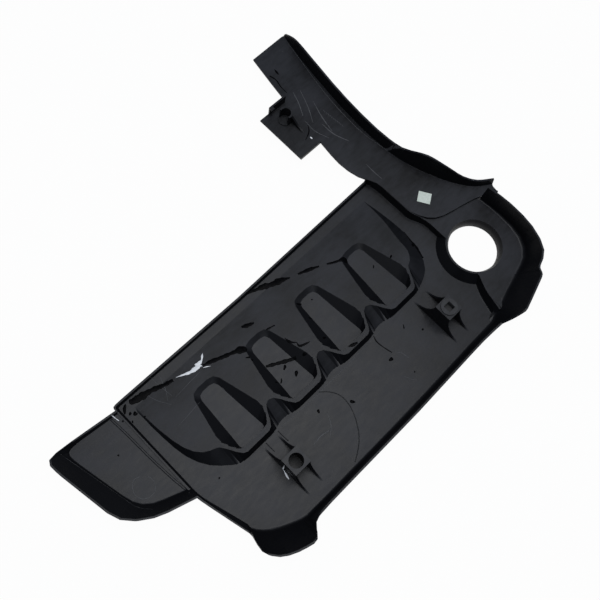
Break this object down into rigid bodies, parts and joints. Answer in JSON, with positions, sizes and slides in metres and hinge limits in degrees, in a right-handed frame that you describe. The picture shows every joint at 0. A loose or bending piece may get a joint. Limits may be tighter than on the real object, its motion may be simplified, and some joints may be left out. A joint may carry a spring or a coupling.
{
  "type": "engine cover",
  "caption": "Moulded engine bay cover seen from its underside: a ribbed tray with a filler opening, mounting posts and an angled arm.",
  "frame": {"origin": "centre of the filler opening at the outer face, on the opening's axis", "axes": "+Z out of the underside along the filler opening, +X along the cover towards the filler end, +Y towards the long straight edge that the arm leaves from"},
  "size_m": [0.672, 0.5199, 0.057],
  "materials": {
    "cover_plastic": "moulded black plastic with a fine grain, dusty and water marked",
    "grommet_rubber": "moulded rubber",
    "label_paper": "thin printed label, faded"
  },
  "bodies": {
    "root": {"cover_moulding": "cover_plastic", "mount_grommet": "grommet_rubber", "paper_label": "label_paper"}
  },
  "joints": []
}
